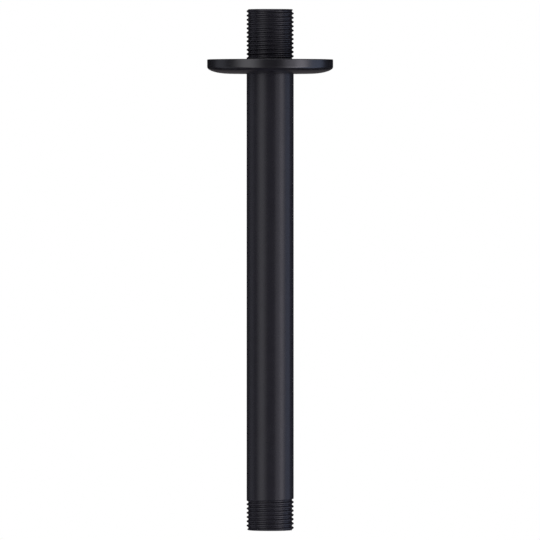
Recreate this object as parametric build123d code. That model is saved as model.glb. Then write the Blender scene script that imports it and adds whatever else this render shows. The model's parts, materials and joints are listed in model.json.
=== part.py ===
from build123d import *
from build123d.topology import SkipClean
import math
import os

# A straight shower arm that hangs from the ceiling, with its round cover flange and the flange's rubber ring.
# Millimetres. +Z is up. The origin is on the arm's axis, in the plane of the ceiling: the flange's back lies
# in that plane, the ceiling thread stands above it and the rest of the arm hangs below it.

# Arm: a thick-walled tube with a right-hand parallel pipe thread, G 1/2, cut into the outside of each end.
# The tube is thinner than the standard thread, so the crests are cut off at its surface. They are left as
# wide as the roots, and each thread ends in a run-out groove.
TUBE_DIAMETER = 20.0  # also the crest diameter of both threads
WATERWAY_DIAMETER = 15.0
REACH_ABOVE_CEILING = 21.3
DROP_BELOW_CEILING = 200.0
THREAD_PITCH = 25.4 / 14
THREAD_DEPTH = 0.6845  # down to the standard root diameter, 18.631
THREAD_FLANK = 27.5  # degrees between each flank and a cross-section
THREAD_LEAD = 0.6  # chamfer at both ends of the arm
HEAD_THREAD_LENGTH = 12.4  # from the lower end to the middle of its run-out groove
RUNOUT_WIDTH = 1.6  # at the crests
RUNOUT_FLOOR = 0.6  # width of the groove's flat bottom
WATERWAY_CHAMFER = 0.5

# Flange: a turned cover with an upright rim, a quarter-ellipse underside and a flat centre, hollow at the
# back, with a collar around the arm that holds the ring.
FLANGE_DIAMETER = 53.5
RIM_HEIGHT = 3.2
DOME_REACH = 9.8  # across the quarter-ellipse
DOME_DROP = 2.9  # down the quarter-ellipse
FLANGE_WALL = 1.5
RIM_EDGE = 0.3  # rounding at the back of the rim
ARM_CLEARANCE = 0.35  # between the arm and the flange's own bore
FRONT_LIP = 1.35  # metal between the flange's front and the ring's groove
BACK_LIP = 1.5  # metal between the ring's groove and the top of the collar
COLLAR_WALL = 1.5  # metal outside the ring's groove
BORE_CHAMFER = 0.3
COLLAR_FILLET = 0.8

# Rubber ring, flattened a little between the arm and the floor of its groove
RING_HEIGHT = 2.1
RING_FLATTENING = 0.3
RING_CLEARANCE = 0.05  # to the arm, and to the groove's floor
GROOVE_SIDE_CLEARANCE = 0.1
SMOOTH_ABOVE_RING = 0.55  # plain tube between the ring and the ceiling thread's run-out

# The arm is turned and threaded in equal sectors, which are then joined but keep their own faces. Each cut is
# a small one that way, and each crest is a row of short cylinder faces that a radius can be measured on.
SECTORS = 8
FIRST_SECTOR_TURN = 20  # degrees from +X to sector 0, where the ceiling thread meets its run-out groove
HEAD_THREAD_SECTOR = 6  # the one where the head thread meets its run-out groove
CUTTER_REACH = 0.3  # beyond the tube's surface
CUTTER_OVERLAP = 6  # degrees beyond each side of a sector

sector_arc = 360 / SECTORS

# Radii
tube_r = TUBE_DIAMETER / 2
waterway_r = WATERWAY_DIAMETER / 2
thread_root_r = tube_r - THREAD_DEPTH
flange_r = FLANGE_DIAMETER / 2
flange_bore_r = tube_r + ARM_CLEARANCE
dome_start_r = flange_r - DOME_REACH
ring_inner_r = tube_r + RING_CLEARANCE
ring_outer_r = ring_inner_r + RING_HEIGHT - RING_FLATTENING
groove_floor_r = ring_outer_r + RING_CLEARANCE
collar_r = groove_floor_r + COLLAR_WALL

# Heights
arm_top_z = REACH_ABOVE_CEILING
arm_bottom_z = -DROP_BELOW_CEILING
flange_front_z = -(RIM_HEIGHT + DOME_DROP)
web_z = flange_front_z + FLANGE_WALL
groove_bottom_z = flange_front_z + FRONT_LIP
ring_z = groove_bottom_z + GROOVE_SIDE_CLEARANCE + RING_HEIGHT / 2
groove_top_z = ring_z + RING_HEIGHT / 2 + GROOVE_SIDE_CLEARANCE
collar_top_z = groove_top_z + BACK_LIP
ceiling_runout_z = ring_z + (RING_HEIGHT + RUNOUT_WIDTH) / 2 + SMOOTH_ABOVE_RING
head_runout_z = arm_bottom_z + HEAD_THREAD_LENGTH


def groove_points(middle_z, floor, width, outer_r):
    """Outline of a groove down to the threads' root, this wide at its floor and at outer_r, from the top down."""
    return [
        (outer_r, middle_z + width / 2),
        (thread_root_r, middle_z + floor / 2),
        (thread_root_r, middle_z - floor / 2),
        (outer_r, middle_z - width / 2),
    ]


def runout_points(middle_z):
    return groove_points(middle_z, RUNOUT_FLOOR, RUNOUT_WIDTH, tube_r)


def turned(face, arc=360):
    """The solid that a section in the XZ plane makes when it is turned about the arm's axis."""
    return revolve(Plane.XZ * face, Axis.Z, revolution_arc=arc)


def plain_sector():
    """One sector of the arm before it is threaded: tube with chamfered ends and two run-out grooves."""
    outline = Polyline(
        (waterway_r, arm_top_z - WATERWAY_CHAMFER),
        (waterway_r + WATERWAY_CHAMFER, arm_top_z),
        (tube_r - THREAD_LEAD, arm_top_z),
        (tube_r, arm_top_z - THREAD_LEAD),
        *runout_points(ceiling_runout_z),
        *runout_points(head_runout_z),
        (tube_r, arm_bottom_z + THREAD_LEAD),
        (tube_r - THREAD_LEAD, arm_bottom_z),
        (waterway_r + WATERWAY_CHAMFER, arm_bottom_z),
        (waterway_r, arm_bottom_z + WATERWAY_CHAMFER),
        close=True,
    )
    return turned(make_face(outline), sector_arc)


def thread_cutter():
    """What one turn of a thread takes from a sector, whose near side it enters at the height zero."""
    slope = math.tan(math.radians(THREAD_FLANK))
    floor = THREAD_PITCH / 2 - THREAD_DEPTH * slope
    width = floor + 2 * (THREAD_DEPTH + CUTTER_REACH) * slope
    section = Polyline(*groove_points(0, floor, width, tube_r + CUTTER_REACH), close=True)
    climb = THREAD_PITCH * (sector_arc + 2 * CUTTER_OVERLAP) / 360
    path = Helix(THREAD_PITCH, climb, thread_root_r)
    cutter = sweep(Plane.XZ * make_face(section), path=path, is_frenet=True)
    return Pos(0, 0, -THREAD_PITCH * CUTTER_OVERLAP / 360) * Rot(0, 0, -CUTTER_OVERLAP) * cutter


def cutter_heights(number):
    """Where the turns of both threads enter the near side of the sector with this number."""
    rise = THREAD_PITCH / SECTORS
    ceiling_z = ceiling_runout_z + rise * number
    sectors_to_runout = (HEAD_THREAD_SECTOR - number - 1) % SECTORS + 1
    head_z = head_runout_z - rise * sectors_to_runout
    ceiling_turns = math.ceil((arm_top_z - ceiling_z) / THREAD_PITCH) + 1
    head_turns = math.ceil((head_z - arm_bottom_z) / THREAD_PITCH) + 1
    heights = [ceiling_z + THREAD_PITCH * turn for turn in range(ceiling_turns)]
    return heights + [head_z - THREAD_PITCH * turn for turn in range(head_turns)]


def make_arm():
    """The arm: sectors of tube with the turns of both threads cut into them, joined side by side."""
    plain = plain_sector()
    cutter = thread_cutter()
    sectors = []
    with SkipClean():
        for number in range(SECTORS):
            sector = plain - [Pos(0, 0, z) * cutter for z in cutter_heights(number)]
            sectors.append(Rot(0, 0, FIRST_SECTOR_TURN + sector_arc * number) * sector)
        return sectors[0] + sectors[1:]


def dome_section(centre_r, reach, drop):
    """Quarter of an ellipse below the rim's lower edge, from the axis side out to the rim."""
    ellipse = Pos(centre_r, -RIM_HEIGHT) * Ellipse(reach, drop)
    quarter = Pos(centre_r, -RIM_HEIGHT) * Rectangle(reach, drop, align=(Align.MIN, Align.MAX))
    return ellipse & quarter


def block(inner_r, outer_r, low_z, high_z):
    """Rectangle of a section, from one radius to another and from one height to another."""
    size = Rectangle(outer_r - inner_r, high_z - low_z, align=(Align.MIN, Align.MIN))
    return Pos(inner_r, low_z) * size


def make_flange():
    """Cover flange: rim, domed underside, hollow back, and the collar with the ring's groove."""
    rim_inner_r = flange_r - FLANGE_WALL
    rim = block(flange_bore_r, flange_r, -RIM_HEIGHT, 0)
    centre = block(flange_bore_r, dome_start_r, flange_front_z, -RIM_HEIGHT)
    outside = rim + centre + dome_section(dome_start_r, DOME_REACH, DOME_DROP)
    hollow = block(flange_bore_r, rim_inner_r, -RIM_HEIGHT, 0)
    hollow += block(flange_bore_r, dome_start_r, web_z, -RIM_HEIGHT)
    hollow += dome_section(dome_start_r, DOME_REACH - FLANGE_WALL, DOME_DROP - FLANGE_WALL)
    collar = block(flange_bore_r, collar_r, flange_front_z, collar_top_z)
    groove = block(flange_bore_r, groove_floor_r, groove_bottom_z, groove_top_z)
    part = turned(outside - hollow + collar - groove)

    circles = part.edges().filter_by(GeomType.CIRCLE)
    back_edge = circles.filter_by(lambda e: at(e, flange_r, 0))
    part = fillet(back_edge, RIM_EDGE)
    circles = part.edges().filter_by(GeomType.CIRCLE)
    collar_root = circles.filter_by(lambda e: at(e, collar_r, web_z))
    part = fillet(collar_root, COLLAR_FILLET)
    circles = part.edges().filter_by(GeomType.CIRCLE)
    bore_mouths = circles.filter_by(
        lambda e: at(e, flange_bore_r, flange_front_z) or at(e, flange_bore_r, collar_top_z)
    )
    return chamfer(bore_mouths, BORE_CHAMFER)


def at(edge, radius, height):
    """Whether a circular edge about the arm's axis has this radius and height."""
    tolerance = 1e-4
    return abs(edge.radius - radius) < tolerance and abs(edge.center().Z - height) < tolerance


def make_ring():
    """Rubber ring: a round section, cut flat where it meets the arm and the floor of its groove."""
    middle_r = (ring_inner_r + ring_outer_r) / 2
    section = Pos(middle_r, ring_z) * Circle(RING_HEIGHT / 2)
    section &= block(ring_inner_r, ring_outer_r, ring_z - RING_HEIGHT, ring_z + RING_HEIGHT)
    return turned(section)


parts = {
    "shower_arm": make_arm(),
    "flange": make_flange(),
    "flange_o_ring": make_ring(),
}

os.makedirs("parts", exist_ok=True)
for name, part in parts.items():
    part.label = name
    export_step(part, f"parts/{name}.step")
    print(name, round(part.volume, 2), "mm3")
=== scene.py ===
import json
import math

import bpy
import numpy as np
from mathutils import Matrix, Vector

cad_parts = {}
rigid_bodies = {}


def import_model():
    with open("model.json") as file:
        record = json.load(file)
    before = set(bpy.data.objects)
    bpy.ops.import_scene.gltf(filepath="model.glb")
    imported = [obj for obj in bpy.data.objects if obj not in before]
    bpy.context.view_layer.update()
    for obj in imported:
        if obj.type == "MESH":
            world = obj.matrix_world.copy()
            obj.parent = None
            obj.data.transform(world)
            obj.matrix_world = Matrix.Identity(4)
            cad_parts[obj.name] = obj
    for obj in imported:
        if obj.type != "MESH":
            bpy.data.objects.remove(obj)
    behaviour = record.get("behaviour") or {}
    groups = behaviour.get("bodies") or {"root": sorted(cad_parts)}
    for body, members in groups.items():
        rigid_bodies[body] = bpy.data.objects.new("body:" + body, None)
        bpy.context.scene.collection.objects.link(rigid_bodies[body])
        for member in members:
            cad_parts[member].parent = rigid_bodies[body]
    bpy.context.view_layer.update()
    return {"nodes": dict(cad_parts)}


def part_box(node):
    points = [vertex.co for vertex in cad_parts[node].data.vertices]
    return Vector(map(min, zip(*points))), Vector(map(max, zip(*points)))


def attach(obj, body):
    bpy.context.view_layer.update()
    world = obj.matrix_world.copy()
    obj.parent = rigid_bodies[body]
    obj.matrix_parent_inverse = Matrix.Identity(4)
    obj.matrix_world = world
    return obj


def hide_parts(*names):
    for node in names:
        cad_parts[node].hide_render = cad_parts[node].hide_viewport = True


# Looks of the shower arm. Metres. +Z is up and the camera looks along +Y. The origin is on the arm's axis,
# in the plane of the ceiling. Azimuths are in degrees: 0 is towards the camera and 90 is its right.

for leftover in list(bpy.data.objects):
    bpy.data.objects.remove(leftover)
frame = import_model()

MM = 0.001

# Pipe thread: G 1/2, right-hand, 14 turns to the inch. Its crests and roots are as wide as each other, and
# the paint rounds the corners of both.
PITCH = 25.4 * MM / 14
FLANK_ANGLE = math.radians(27.5)
CORNER_ROUNDING = 0.25 * MM
THREAD_LEAD = 0.6 * MM
CEILING_GROOVE_Z = 11.36 * MM  # a groove at the camera's right
HEAD_GROOVE_Z = -188.08 * MM  # the highest whole groove, at the camera's left
HEAD_RUNOUT_START = 350  # degrees along the head thread's groove, where it starts to get shallow
HEAD_RUNOUT_END = 490  # and where it ends
CEILING_RUNOUT_LOW_Z = -1.20 * MM  # where the ceiling thread's groove ends, inside the flange
CEILING_RUNOUT_TURN = 120  # degrees over which it gets shallow

# The arm's mesh
COLUMNS = 144
CORNER_ROWS = 4  # on each rounded corner of the thread
END_BAND = 0.75 * MM  # the stretch at each end whose rows are level, for the chamfer
END_BAND_ROWS = 11
TUBE_ROWS = 25  # between the threads, and down the waterway
BORE_CHAMFER = 0.5 * MM
ROOT_MARGIN = 0.1 * MM  # a root of the thread is at least this much wider than the waterway's mouth
MERGE_DISTANCE = 0.001 * MM
SHARP_ANGLE = math.radians(35)

# Camera: a very long lens, level with the upper part of the arm
PHOTO_SIZE = 540  # pixels
PIXELS_PER_METRE = 2354
CAMERA_DISTANCE = 3.8
CAMERA_Z = -0.041
SENSOR_WIDTH = 36
CEILING_PIXEL_Y = 59.45  # the plane of the ceiling, on the arm's axis
AXIS_PIXEL_X = 270.15

# Studio
FLOOR_Z = -1.5
FLOOR_SIZE = 40
FLOOR_GLOW = 0.9
FLOOR_GLOW_SHARE = 0.7  # the rest is white paint, which shows shadows
WHITE_PAINT = 0.9
AMBIENT = 0.5
# Sheets round the arm that glow and that only reflections see: painted reflections. They glow dark at the
# sides and below, dimly behind the arm and brightly above.
REFLECTION_SHEET_RADIUS = 0.85
REFLECTION_SHEET_LOW = FLOOR_Z + 0.01
REFLECTION_SHEET_TOP = 1.5
REFLECTION_SHEET_STEPS = 24
DARK_REFLECTION_GLOW = (0.015, 0.015, 0.015)
REAR_REFLECTION_GLOW = (0.12, 0.108, 0.115)
UPPER_REFLECTION_GLOW = (0.7, 0.7, 0.75)
REAR_WIDTH = 30  # degrees of azimuth behind the arm
STRIP_DISTANCE = 0.7  # from the arm to the wide lights
MIDDLE_DISTANCE = 0.66  # to the narrow ones, which stand in front of them
STRIP_LOW_Z = -1.0
TALL_TOP_Z = 0.9  # of the lights on the left
LOW_TOP_Z = 0.08  # of those on the right
LEFT_TINT = (0.96, 0.95, 1.0)
RIGHT_TINT = (0.92, 0.89, 1.0)
RIGHT_SIDE_TINT = (0.56, 0.68, 1.0)
LEFT_REAR_TINT = (0.85, 0.88, 1.0)

# Finishes
ARM_BLACK = (0.0139, 0.0131, 0.0185)
FLANGE_BLACK = (0.0060, 0.0054, 0.0095)
RUBBER_BLACK = (0.012, 0.012, 0.012)
NOISE_LOW = 0.3  # the range in which nearly all values of a noise lie
NOISE_HIGH = 0.7


# The arm's surface


def thread_turns(first_z, low_z, high_z):
    """Numbers of the groove's turns that can reach the stretch from low_z to high_z."""
    spare_turns = 2
    first = math.floor((low_z - first_z) / PITCH) - spare_turns
    last = math.ceil((high_z - first_z) / PITCH) + spare_turns
    return range(first, last)


def smooth_step(value, start, end):
    """0 before the start, 1 after the end, and a smooth rise between them."""
    share = np.clip((value - start) / (end - start), 0, 1)
    return share * share * (3 - 2 * share)


class Arm:
    """The arm's outer surface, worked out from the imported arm's box and from the thread's form."""

    def __init__(self):
        low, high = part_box("shower_arm")
        self.bottom, self.top = low.z, high.z
        radii = [math.hypot(v.co.x, v.co.y) for v in frame["nodes"]["shower_arm"].data.vertices]
        self.tube_r = max(radii)
        self.bore_r = min(radii)
        self.mouth_r = self.bore_r + BORE_CHAMFER
        root_r = min(r for r in radii if r > self.mouth_r + ROOT_MARGIN)
        self.depth = self.tube_r - root_r
        sharp_flat = PITCH / 2 - self.depth * math.tan(FLANK_ANGLE)
        self.flat = sharp_flat - 2 * CORNER_ROUNDING * math.tan(math.pi / 4 - FLANK_ANGLE / 2)
        self.ceiling_first = CEILING_GROOVE_Z
        self.head_first = HEAD_GROOVE_Z - PITCH / 2
        self.ceiling_low = CEILING_RUNOUT_LOW_Z - PITCH / 2
        self.head_high = self.head_first + PITCH * (HEAD_RUNOUT_END / 360) + PITCH / 2

    def groove(self, offset):
        """Depth of one thread groove, at these distances along the axis from its middle."""
        from_root = np.clip(np.abs(offset) - self.flat / 2, 0, None)
        from_crest = np.clip(PITCH / 2 - np.abs(offset) - self.flat / 2, 0, None)
        reach = CORNER_ROUNDING * math.cos(FLANK_ANGLE)
        root_arc = np.sqrt(np.clip(CORNER_ROUNDING**2 - from_root**2, 0, None))
        crest_arc = np.sqrt(np.clip(CORNER_ROUNDING**2 - from_crest**2, 0, None))
        root = self.depth - CORNER_ROUNDING + root_arc
        crest = CORNER_ROUNDING - crest_arc
        flank_start = self.depth - CORNER_ROUNDING * (1 - math.sin(FLANK_ANGLE))
        flank = flank_start - (from_root - reach) / math.tan(FLANK_ANGLE)
        return np.where(from_root < reach, root, np.where(from_crest < reach, crest, flank))

    def cut_thread(self, angle, z, first_z, turns, lift):
        """Depth of a thread at these angles and heights. lift says how far out the tool is, at an angle
        that goes on counting from turn to turn."""
        depth = np.zeros_like(z)
        for turn in turns:
            middle = first_z + PITCH * (angle / (2 * math.pi) + turn)
            cut = self.groove(z - middle) - lift(angle + 2 * math.pi * turn)
            depth = np.maximum(depth, cut)
        return depth

    def ceiling_lift(self, turned):
        """How far out the tool is along the ceiling thread."""
        end = 2 * math.pi * (CEILING_RUNOUT_LOW_Z - self.ceiling_first) / PITCH
        start = end + math.radians(CEILING_RUNOUT_TURN)
        return self.depth * (1 - smooth_step(turned, end, start))

    def head_lift(self, turned):
        """How far out the tool is along the head thread."""
        start = math.radians(HEAD_RUNOUT_START)
        end = math.radians(HEAD_RUNOUT_END)
        return self.depth * smooth_step(turned, start, end)

    def radius(self, angle, z):
        """Radius of the outer surface at these angles and heights."""
        turns = thread_turns(self.ceiling_first, self.ceiling_low, self.top)
        depth = self.cut_thread(angle, z, self.ceiling_first, turns, self.ceiling_lift)
        turns = thread_turns(self.head_first, self.bottom, self.head_high)
        depth = np.maximum(depth, self.cut_thread(angle, z, self.head_first, turns, self.head_lift))
        from_end = np.minimum(self.top - z, z - self.bottom)
        lead = np.clip(THREAD_LEAD - from_end, 0, None)
        return self.tube_r - np.maximum(depth, lead)

    def thread_rows(self, angle, first_z, low_z, high_z):
        """Heights of the rows that follow a thread's crests and roots, held between low_z and high_z."""
        slopes = np.linspace(0, math.pi / 2 - FLANK_ANGLE, CORNER_ROWS)
        side = self.flat / 2 + CORNER_ROUNDING * np.sin(slopes)
        root = np.concatenate([-side[::-1], side])
        places = np.concatenate([root, root + PITCH / 2])
        helix = PITCH * angle / (2 * math.pi)
        rows = [
            first_z + PITCH * turn + place + helix
            for turn in thread_turns(first_z, low_z, high_z)
            for place in places
        ]
        return np.clip(rows, low_z, high_z)

    def rows(self, angle):
        """Heights of all rows of the outer surface, from the lower end up, one line for each row."""
        low_band = self.bottom + END_BAND
        high_band = self.top - END_BAND
        flat = [
            np.linspace(self.bottom, low_band, END_BAND_ROWS),
            np.linspace(self.head_high, self.ceiling_low, TUBE_ROWS),
            np.linspace(high_band, self.top, END_BAND_ROWS),
        ]
        low_end, tube, high_end = [np.repeat(z[:, None], len(angle), axis=1) for z in flat]
        head = self.thread_rows(angle, self.head_first, low_band, self.head_high)
        ceiling = self.thread_rows(angle, self.ceiling_first, self.ceiling_low, high_band)
        return np.concatenate([low_end, head, tube, ceiling, high_end])


def grid_points(angle, radius, z):
    """Points of a grid with one line for each row and one column for each angle."""
    angle = np.broadcast_to(angle, z.shape)
    return np.stack([radius * np.cos(angle), radius * np.sin(angle), z], axis=-1)


def skin(grids):
    """Vertices and faces of several grids joined into one mesh, with points that coincide made into one."""
    points = np.concatenate([grid.reshape(-1, 3) for grid in grids])
    steps = np.round(points / MERGE_DISTANCE).astype(np.int64)
    keys, index = np.unique(steps, axis=0, return_inverse=True)
    index = index.reshape(-1)
    vertices = np.zeros((len(keys), 3))
    vertices[index] = points
    faces = []
    start = 0
    for grid in grids:
        rows, columns = grid.shape[:2]
        numbers = index[start : start + rows * columns].reshape(rows, columns)
        start += rows * columns
        lower, upper = numbers[:-1], numbers[1:]
        corners = np.stack([lower[:, :-1], lower[:, 1:], upper[:, 1:], upper[:, :-1]], axis=-1)
        for face in corners.reshape(-1, 4).tolist():
            distinct = [v for k, v in enumerate(face) if v != face[k - 1]]
            if len(set(distinct)) > 2:
                faces.append(distinct)
    return vertices.tolist(), faces


def make_arm():
    """The arm as one closed mesh: outside with both threads, flat ends, and waterway with its chamfers."""
    arm = Arm()
    angle = np.linspace(0, 2 * math.pi, COLUMNS + 1)
    z = arm.rows(angle)
    outside = grid_points(angle, arm.radius(angle, z), z)

    inside = [(arm.mouth_r, arm.top), (arm.bore_r, arm.top - BORE_CHAMFER)]
    for height in np.linspace(arm.top - BORE_CHAMFER, arm.bottom + BORE_CHAMFER, TUBE_ROWS)[1:]:
        inside.append((arm.bore_r, height))
    inside.append((arm.mouth_r, arm.bottom))
    inside_r = np.repeat([[r] for r, _ in inside], len(angle), axis=1)
    inside_z = np.repeat([[height] for _, height in inside], len(angle), axis=1)
    bore = grid_points(angle, inside_r, inside_z)

    upper_end = np.stack([outside[-1], bore[0]])
    lower_end = np.stack([bore[-1], outside[0]])
    vertices, faces = skin([outside, upper_end, bore, lower_end])
    mesh = bpy.data.meshes.new("threaded_arm")
    mesh.from_pydata(vertices, [], faces)
    mesh.validate()
    mesh.polygons.foreach_set("use_smooth", [True] * len(mesh.polygons))
    mesh.set_sharp_from_angle(angle=SHARP_ANGLE)
    piece = bpy.data.objects.new("threaded_arm", mesh)
    bpy.context.scene.collection.objects.link(piece)
    return piece


# Finishes


class Finish:
    """A material with its shader, and short ways to add the nodes that shape it."""

    def __init__(self, name, colour, roughness, ior):
        self.material = bpy.data.materials.new(name)
        self.material.use_nodes = True
        self.nodes = self.material.node_tree.nodes
        self.links = self.material.node_tree.links
        self.shader = self.nodes["Principled BSDF"]
        self.shader.inputs["IOR"].default_value = ior
        self.place = self.nodes.new("ShaderNodeTexCoord").outputs["Object"]
        self.colour = colour
        self.roughness = roughness
        self.surface = None

    def noise(self, size, detail=2, place=None):
        """Noise whose lumps are about this size, in metres."""
        node = self.nodes.new("ShaderNodeTexNoise")
        node.inputs["Scale"].default_value = 1 / size
        node.inputs["Detail"].default_value = detail
        self.links.new(place or self.place, node.inputs["Vector"])
        return node.outputs["Fac"]

    def spread(self, source, low, high):
        """A noise's values, spread from low to high."""
        node = self.nodes.new("ShaderNodeMapRange")
        node.inputs["From Min"].default_value = NOISE_LOW
        node.inputs["From Max"].default_value = NOISE_HIGH
        node.inputs["To Min"].default_value = low
        node.inputs["To Max"].default_value = high
        self.links.new(source, node.inputs["Value"])
        return node.outputs["Result"]

    def vary_roughness(self, size, amount):
        """Gloss that is uneven in patches of about this size."""
        rough = self.spread(self.noise(size), self.roughness - amount, self.roughness + amount)
        self.links.new(rough, self.shader.inputs["Roughness"])

    def vary_colour(self, size, amount):
        """Colour that is up to this share lighter or darker, in patches of about this size."""
        mix = self.nodes.new("ShaderNodeMix")
        mix.data_type = "RGBA"
        for name, scale in (("A", 1 - amount), ("B", 1 + amount)):
            colours = [s for s in mix.inputs if s.name == name and s.type == "RGBA"]
            colours[0].default_value = (*[c * scale for c in self.colour], 1)
        factor = [s for s in mix.inputs if s.name == "Factor" and s.type == "VALUE"][0]
        self.links.new(self.spread(self.noise(size, detail=4), 0, 1), factor)
        result = [s for s in mix.outputs if s.type == "RGBA"][0]
        self.links.new(result, self.shader.inputs["Base Color"])

    def add_bump(self, height, depth):
        """Relief of this depth, on top of the relief added before it."""
        node = self.nodes.new("ShaderNodeBump")
        node.inputs["Strength"].default_value = 1
        node.inputs["Distance"].default_value = depth
        self.links.new(height, node.inputs["Height"])
        if self.surface is not None:
            self.links.new(self.surface, node.inputs["Normal"])
        self.surface = node.outputs["Normal"]
        self.links.new(self.surface, self.shader.inputs["Normal"])

    def maths(self, operation, *sources):
        """The result of this operation on these sources."""
        node = self.nodes.new("ShaderNodeMath")
        node.operation = operation
        for socket, source in zip(node.inputs, sources):
            self.links.new(source, socket)
        return node.outputs["Value"]

    def turned_place(self):
        """Distance from the axis and height, so that a noise there makes rings about the axis."""
        split = self.nodes.new("ShaderNodeSeparateXYZ")
        self.links.new(self.place, split.inputs["Vector"])
        x, y, z = split.outputs
        squares = self.maths("ADD", self.maths("MULTIPLY", x, x), self.maths("MULTIPLY", y, y))
        join = self.nodes.new("ShaderNodeCombineXYZ")
        self.links.new(self.maths("SQRT", squares), join.inputs["X"])
        self.links.new(z, join.inputs["Z"])
        return join.outputs["Vector"]


def arm_paint():
    """Baked matt paint: fine orange peel, slightly uneven gloss."""
    paint = Finish("arm_matt_black", ARM_BLACK, roughness=0.27, ior=1.5)
    paint.vary_roughness(8 * MM, 0.025)
    paint.vary_colour(5 * MM, 0.06)
    paint.add_bump(paint.noise(0.7 * MM), 0.0015 * MM)
    paint.add_bump(paint.noise(0.15 * MM), 0.0003 * MM)
    return paint.material


def flange_paint():
    """The same paint over turned metal, glossier: faint rings from the lathe show through."""
    paint = Finish("flange_satin_black", FLANGE_BLACK, roughness=0.30, ior=2.0)
    paint.vary_roughness(6 * MM, 0.02)
    paint.vary_colour(4 * MM, 0.06)
    rings = paint.turned_place()
    paint.add_bump(paint.noise(0.35 * MM, detail=3, place=rings), 0.004 * MM)
    paint.add_bump(paint.noise(0.7 * MM), 0.002 * MM)
    return paint.material


def rubber():
    """Black rubber, matt and faintly grained."""
    black = Finish("ring_black_rubber", RUBBER_BLACK, roughness=0.6, ior=1.45)
    black.vary_roughness(1.5 * MM, 0.06)
    black.vary_colour(1 * MM, 0.1)
    black.add_bump(black.noise(0.12 * MM), 0.004 * MM)
    return black.material


def paint_node(name, material):
    """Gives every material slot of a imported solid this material."""
    slots = frame["nodes"][name].material_slots
    for slot in slots:
        slot.material = material


# Camera and studio


def around(azimuth, distance, height):
    """A point at this azimuth and distance from the arm's axis."""
    turn = math.radians(azimuth)
    return Vector((distance * math.sin(turn), -distance * math.cos(turn), height))


def add_object(name, data, location, target):
    """An object that looks from its location towards a target."""
    thing = bpy.data.objects.new(name, data)
    thing.location = location
    thing.rotation_euler = (target - location).to_track_quat("-Z", "Y").to_euler()
    bpy.context.scene.collection.objects.link(thing)
    return thing


def add_camera():
    """The photo's view, with the arm's axis and the plane of the ceiling where the photo has them."""
    data = bpy.data.cameras.new("photo_camera")
    data.sensor_width = SENSOR_WIDTH
    data.lens = SENSOR_WIDTH * PIXELS_PER_METRE * CAMERA_DISTANCE / PHOTO_SIZE
    aside = (PHOTO_SIZE / 2 - AXIS_PIXEL_X) / PIXELS_PER_METRE
    aim = Vector((aside, 0, (CEILING_PIXEL_Y - PHOTO_SIZE / 2) / PIXELS_PER_METRE))
    location = Vector((aside, -CAMERA_DISTANCE, CAMERA_Z))
    bpy.context.scene.camera = add_object("photo_camera", data, location, aim)


def add_strip(name, azimuth, width, radiance, tint, top_z, distance=STRIP_DISTANCE):
    """An upright soft light, as wide as this many degrees seen from the arm, that faces the arm."""
    data = bpy.data.lights.new(name, "AREA")
    data.shape = "RECTANGLE"
    data.size = 2 * distance * math.tan(math.radians(width / 2))
    data.size_y = top_z - STRIP_LOW_Z
    data.energy = radiance * math.pi * data.size * data.size_y
    data.color = tint
    middle_z = (STRIP_LOW_Z + top_z) / 2
    location = around(azimuth, distance, middle_z)
    strip = add_object(name, data, location, Vector((0, 0, middle_z)))
    strip.visible_camera = False


def seen_by_light_path(tree, *kinds):
    """1 for rays of these kinds and 0 for other rays."""
    path = tree.nodes.new("ShaderNodeLightPath")
    total = None
    for kind in kinds:
        ray = path.outputs[kind]
        if total is None:
            total = ray
            continue
        node = tree.nodes.new("ShaderNodeMath")
        node.operation = "ADD"
        node.use_clamp = True
        tree.links.new(total, node.inputs[0])
        tree.links.new(ray, node.inputs[1])
        total = node.outputs["Value"]
    return total


def light_world():
    """White where it is seen or reflected, and a softer grey where it only lights the arm."""
    world = bpy.data.worlds.new("white_studio")
    world.use_nodes = True
    world.cycles.sampling_method = "NONE"
    tree = world.node_tree
    tree.nodes.clear()
    white = tree.nodes.new("ShaderNodeBackground")
    grey = tree.nodes.new("ShaderNodeBackground")
    grey.inputs["Strength"].default_value = AMBIENT
    for background in (white, grey):
        background.inputs["Color"].default_value = (1, 1, 1, 1)
    mix = tree.nodes.new("ShaderNodeMixShader")
    seen = seen_by_light_path(tree, "Is Camera Ray", "Is Glossy Ray", "Is Transmission Ray")
    tree.links.new(seen, mix.inputs[0])
    tree.links.new(grey.outputs[0], mix.inputs[1])
    tree.links.new(white.outputs[0], mix.inputs[2])
    output = tree.nodes.new("ShaderNodeOutputWorld")
    tree.links.new(mix.outputs[0], output.inputs["Surface"])
    bpy.context.scene.world = world


def glowing_material(name, glow_colour, share=1.0):
    """A surface that glows in this colour, mixed with plain white paint where share is under 1."""
    material = bpy.data.materials.new(name)
    material.use_nodes = True
    material.cycles.emission_sampling = "NONE"
    tree = material.node_tree
    tree.nodes.clear()
    glow = tree.nodes.new("ShaderNodeEmission")
    glow.inputs["Color"].default_value = (*glow_colour, 1)
    paint = tree.nodes.new("ShaderNodeBsdfDiffuse")
    paint.inputs["Color"].default_value = (WHITE_PAINT, WHITE_PAINT, WHITE_PAINT, 1)
    mix = tree.nodes.new("ShaderNodeMixShader")
    mix.inputs[0].default_value = share
    tree.links.new(paint.outputs[0], mix.inputs[1])
    tree.links.new(glow.outputs[0], mix.inputs[2])
    output = tree.nodes.new("ShaderNodeOutputMaterial")
    tree.links.new(mix.outputs[0], output.inputs["Surface"])
    return material


def clear_from_behind(material):
    """Makes a surface see-through where it is looked at from its back."""
    tree = material.node_tree
    output = next(node for node in tree.nodes if node.type == "OUTPUT_MATERIAL")
    front = output.inputs["Surface"].links[0].from_socket
    clear = tree.nodes.new("ShaderNodeBsdfTransparent")
    geometry = tree.nodes.new("ShaderNodeNewGeometry")
    sides = tree.nodes.new("ShaderNodeMixShader")
    tree.links.new(geometry.outputs["Backfacing"], sides.inputs[0])
    tree.links.new(front, sides.inputs[1])
    tree.links.new(clear.outputs[0], sides.inputs[2])
    tree.links.new(sides.outputs[0], output.inputs["Surface"])


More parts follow.
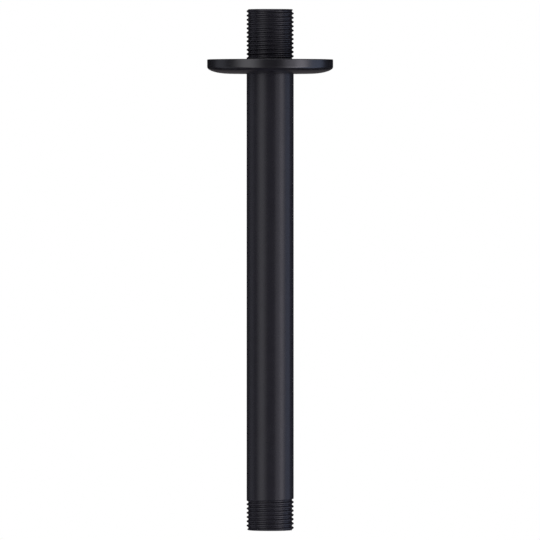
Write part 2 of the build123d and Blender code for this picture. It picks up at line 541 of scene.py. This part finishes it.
def add_stage_mesh(name, vertices, faces, material):
    """A piece of the studio, which isn't part of the object."""
    mesh = bpy.data.meshes.new(name)
    mesh.from_pydata(vertices, [], faces)
    mesh.materials.append(material)
    thing = bpy.data.objects.new(name, mesh)
    bpy.context.scene.collection.objects.link(thing)
    return thing


def add_floor():
    """A white floor far below the arm, which views from below look through."""
    half = FLOOR_SIZE / 2
    outline = ((-half, -half), (half, -half), (half, half), (-half, half))
    corners = [(x, y, FLOOR_Z) for x, y in outline]
    white = glowing_material("floor_white", [FLOOR_GLOW / FLOOR_GLOW_SHARE] * 3, FLOOR_GLOW_SHARE)
    clear_from_behind(white)
    add_stage_mesh("floor", corners, [(0, 1, 2, 3)], white)


def hang_reflection_sheet(name, vertices, faces, colour):
    """A sheet that glows in this colour and that only reflections see: a painted reflection."""
    glow_sheet = add_stage_mesh(name, vertices, faces, glowing_material(name, colour))
    glow_sheet.visible_camera = False
    glow_sheet.visible_diffuse = False
    glow_sheet.visible_transmission = False
    glow_sheet.visible_shadow = False
    glow_sheet.visible_volume_scatter = False


def add_upright_reflection_sheet(name, start, end, colour):
    """A glowing sheet around the arm between two azimuths, which only reflections see: a painted
    reflection.
    """
    vertices = []
    faces = []
    for azimuth in np.linspace(start, end, REFLECTION_SHEET_STEPS + 1):
        vertices += [around(azimuth, REFLECTION_SHEET_RADIUS, REFLECTION_SHEET_LOW), around(azimuth, REFLECTION_SHEET_RADIUS, REFLECTION_SHEET_TOP)]
    for step in range(REFLECTION_SHEET_STEPS):
        a = 2 * step
        faces.append((a, a + 2, a + 3, a + 1))
    hang_reflection_sheet(name, vertices, faces, colour)


def add_round_reflection_sheet(name, height, colour):
    """A level glowing sheet, which only reflections see, that closes the upright sheets at their top or
    bottom: a painted reflection.
    """
    azimuths = np.linspace(0, 360, REFLECTION_SHEET_STEPS, endpoint=False)
    vertices = [around(azimuth, REFLECTION_SHEET_RADIUS, height) for azimuth in azimuths]
    hang_reflection_sheet(name, vertices, [tuple(range(REFLECTION_SHEET_STEPS))], colour)


def add_lights():
    """Soft lights on both sides, brighter in their middles, and one more further round on each side."""
    add_strip("left_wide", -42, 48, 0.38, LEFT_TINT, TALL_TOP_Z)
    add_strip("left_middle", -42, 24, 0.46, LEFT_TINT, TALL_TOP_Z, MIDDLE_DISTANCE)
    add_strip("right_wide", 51, 50, 0.72, RIGHT_TINT, LOW_TOP_Z)
    add_strip("right_middle", 58, 20, 0.95, RIGHT_TINT, LOW_TOP_Z, MIDDLE_DISTANCE)
    add_strip("right_side", 94, 34, 0.6, RIGHT_SIDE_TINT, LOW_TOP_Z)
    add_strip("left_rear", -102, 30, 0.22, LEFT_REAR_TINT, TALL_TOP_Z)


arm = make_arm()
arm.data.materials.append(arm_paint())
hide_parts("shower_arm")
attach(arm, "arm")
paint_node("flange", flange_paint())
paint_node("flange_o_ring", rubber())

add_camera()
add_floor()
# Painted reflections: glowing sheets that only reflections see. They are dark all round, dimmer behind the
# arm and bright overhead.
add_upright_reflection_sheet("painted_dark_reflection", REAR_WIDTH / 2 - 180, 180 - REAR_WIDTH / 2, DARK_REFLECTION_GLOW)
add_upright_reflection_sheet("painted_rear_reflection", 180 - REAR_WIDTH / 2, 180 + REAR_WIDTH / 2, REAR_REFLECTION_GLOW)
add_round_reflection_sheet("painted_upper_reflection", REFLECTION_SHEET_TOP, UPPER_REFLECTION_GLOW)
add_round_reflection_sheet("painted_lower_reflection", REFLECTION_SHEET_LOW, DARK_REFLECTION_GLOW)
light_world()
add_lights()
bpy.context.scene.view_settings.view_transform = "Standard"
